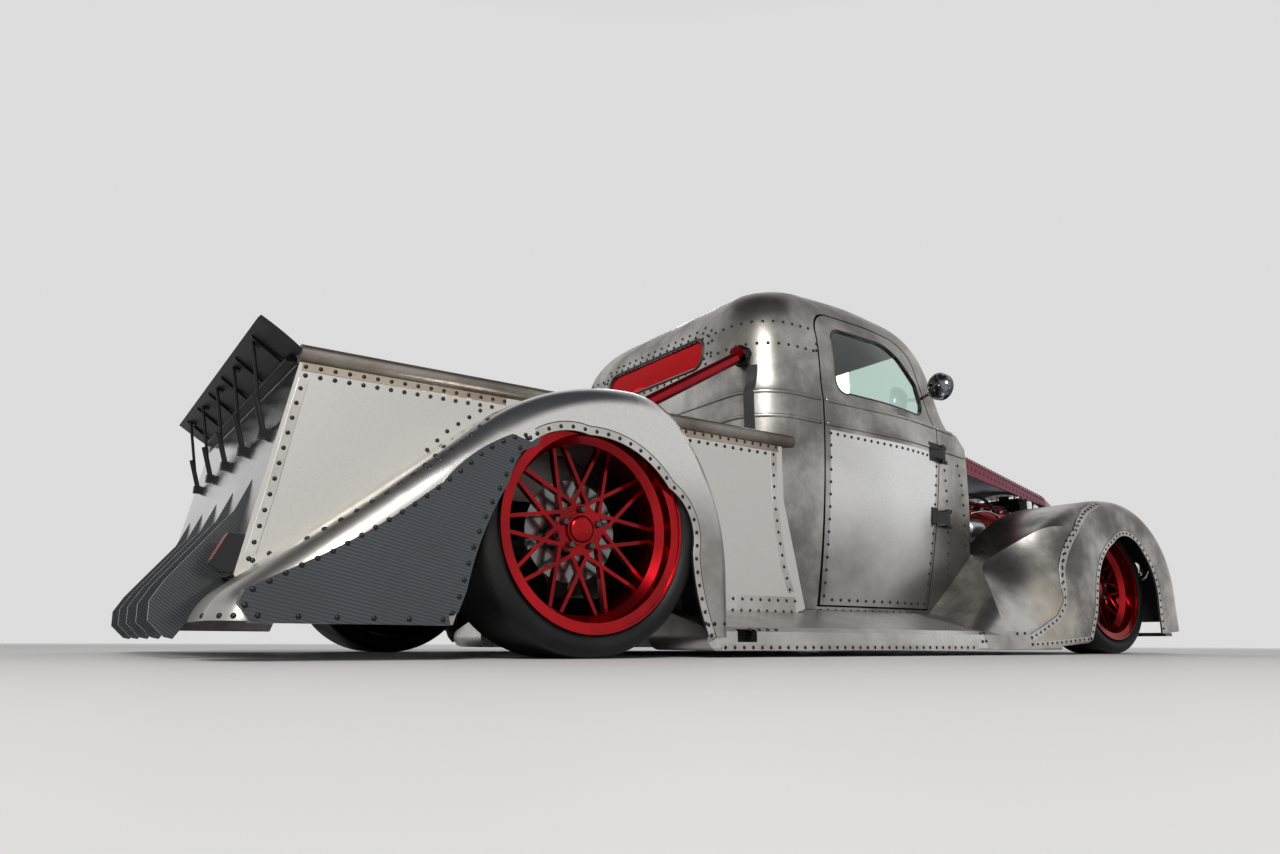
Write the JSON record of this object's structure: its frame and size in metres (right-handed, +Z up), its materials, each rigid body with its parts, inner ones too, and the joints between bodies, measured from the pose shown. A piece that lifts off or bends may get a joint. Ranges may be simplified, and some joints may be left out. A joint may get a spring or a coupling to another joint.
{
  "type": "pickup truck",
  "caption": "Low custom pickup truck with riveted bare metal body, open engine bay, mesh wheels, swinging doors, lifting hood, bed wing and finned tail.",
  "frame": {"origin": "on the ground under the middle of the truck's bounding box", "axes": "+X forward, +Y to the truck's left, +Z up"},
  "size_m": [4.52, 1.974, 1.5599],
  "materials": {
    "raw_steel": "bare brushed steel, aged",
    "polished_steel": "brighter brushed steel",
    "aged_steel": "browned bare steel",
    "chassis_black": "satin black",
    "clear_glass": "pale green glass",
    "tinted_glass": "red tinted glass",
    "seat_leather": "dark leather",
    "black_trim": "black",
    "carbon": "woven carbon under clear resin",
    "chrome": "polished",
    "red_lens": "red lens",
    "red_paint": "candy red gloss",
    "red_wheel": "candy red over metal",
    "lamp_glass": "clear lens",
    "cast_iron": "dark cast iron",
    "aluminium": "mill finish",
    "brake_silver": "machined",
    "tyre": "smooth wall rubber"
  },
  "bodies": {
    "chassis": {"bed_floor": "raw_steel", "bed_front_panel": "raw_steel", "bed_rails": "aged_steel", "bed_sides": "raw_steel", "cab_floor": "chassis_black", "cab_shell": "raw_steel", "dashboard": "raw_steel", "diffuser": "carbon", "down_tubes": "red_paint", "engine_block": "cast_iron", "exhaust_headers": "chrome", "frame_rails": "chassis_black", "front_axle": "chassis_black", "front_fenders": "raw_steel", "front_splitter": "black_trim", "grille_bars": "chrome", "grille_shell": "raw_steel", "headlamps": "lamp_glass", "hood_hinges": "raw_steel", "intake": "red_paint", "radiator": "aluminium", "rear_axle": "chassis_black", "rear_fenders": "raw_steel", "rear_skirts": "carbon", "rear_window_glass": "tinted_glass", "rear_wing": "black_trim", "running_boards": "raw_steel", "seats": "seat_leather", "steering_wheel": "black_trim", "tail_lamps": "red_lens", "tailgate": "polished_steel", "valve_covers": "red_paint", "wheel_tubs": "raw_steel", "windscreen_glass": "clear_glass", "wing_stays": "chrome"},
    "door_right": {"door_right": "polished_steel", "door_glass_right": "clear_glass", "mirror_right": "black_trim"},
    "knuckle_right": {"knuckle_right": "brake_silver"},
    "front_wheel_right": {"front_rim_right": "red_wheel", "front_tyre_right": "tyre"},
    "rear_wheel_right": {"rear_rim_right": "red_wheel", "rear_tyre_right": "tyre"},
    "door_left": {"door_left": "polished_steel", "door_glass_left": "clear_glass", "mirror_left": "black_trim"},
    "knuckle_left": {"knuckle_left": "brake_silver"},
    "front_wheel_left": {"front_rim_left": "red_wheel", "front_tyre_left": "tyre"},
    "rear_wheel_left": {"rear_rim_left": "red_wheel", "rear_tyre_left": "tyre"},
    "hood": {"hood_lid": "red_paint"}
  },
  "joints": [
    {"name": "steer_right", "type": "hinge", "parent": "chassis", "child": "knuckle_right", "pos_m": [1.745, -0.706, 0.307], "axis": [0, 0, 1], "range_deg": [-14, 14]},
    {"name": "front_wheel_spin_right", "type": "hinge", "parent": "knuckle_right", "child": "front_wheel_right", "pos_m": [1.745, -0.754, 0.307], "axis": [0, 1, 0], "continuous": true},
    {"name": "rear_wheel_spin_right", "type": "hinge", "parent": "chassis", "child": "rear_wheel_right", "pos_m": [-1.225, -0.806, 0.36], "axis": [0, 1, 0], "continuous": true},
    {"name": "door_swing_right", "type": "hinge", "parent": "chassis", "child": "door_right", "pos_m": [0.758, -0.692, 0.7], "axis": [0, 0, 1], "range_deg": [0, 65]},
    {"name": "steer_left", "type": "hinge", "parent": "chassis", "child": "knuckle_left", "pos_m": [1.745, 0.706, 0.307], "axis": [0, 0, 1], "range_deg": [-14, 14]},
    {"name": "front_wheel_spin_left", "type": "hinge", "parent": "knuckle_left", "child": "front_wheel_left", "pos_m": [1.745, 0.754, 0.307], "axis": [0, 1, 0], "continuous": true},
    {"name": "rear_wheel_spin_left", "type": "hinge", "parent": "chassis", "child": "rear_wheel_left", "pos_m": [-1.225, 0.806, 0.36], "axis": [0, 1, 0], "continuous": true},
    {"name": "door_swing_left", "type": "hinge", "parent": "chassis", "child": "door_left", "pos_m": [0.758, 0.692, 0.7], "axis": [0, 0, 1], "range_deg": [-65, 0]},
    {"name": "hood_lift", "type": "hinge", "parent": "chassis", "child": "hood", "pos_m": [1.037, 0, 1.008], "axis": [0, -1, 0], "range_deg": [0, 45]}
  ],
  "couplings": [
    {"joint": "steer_left", "follows": "steer_right", "ratio": 1}
  ]
}
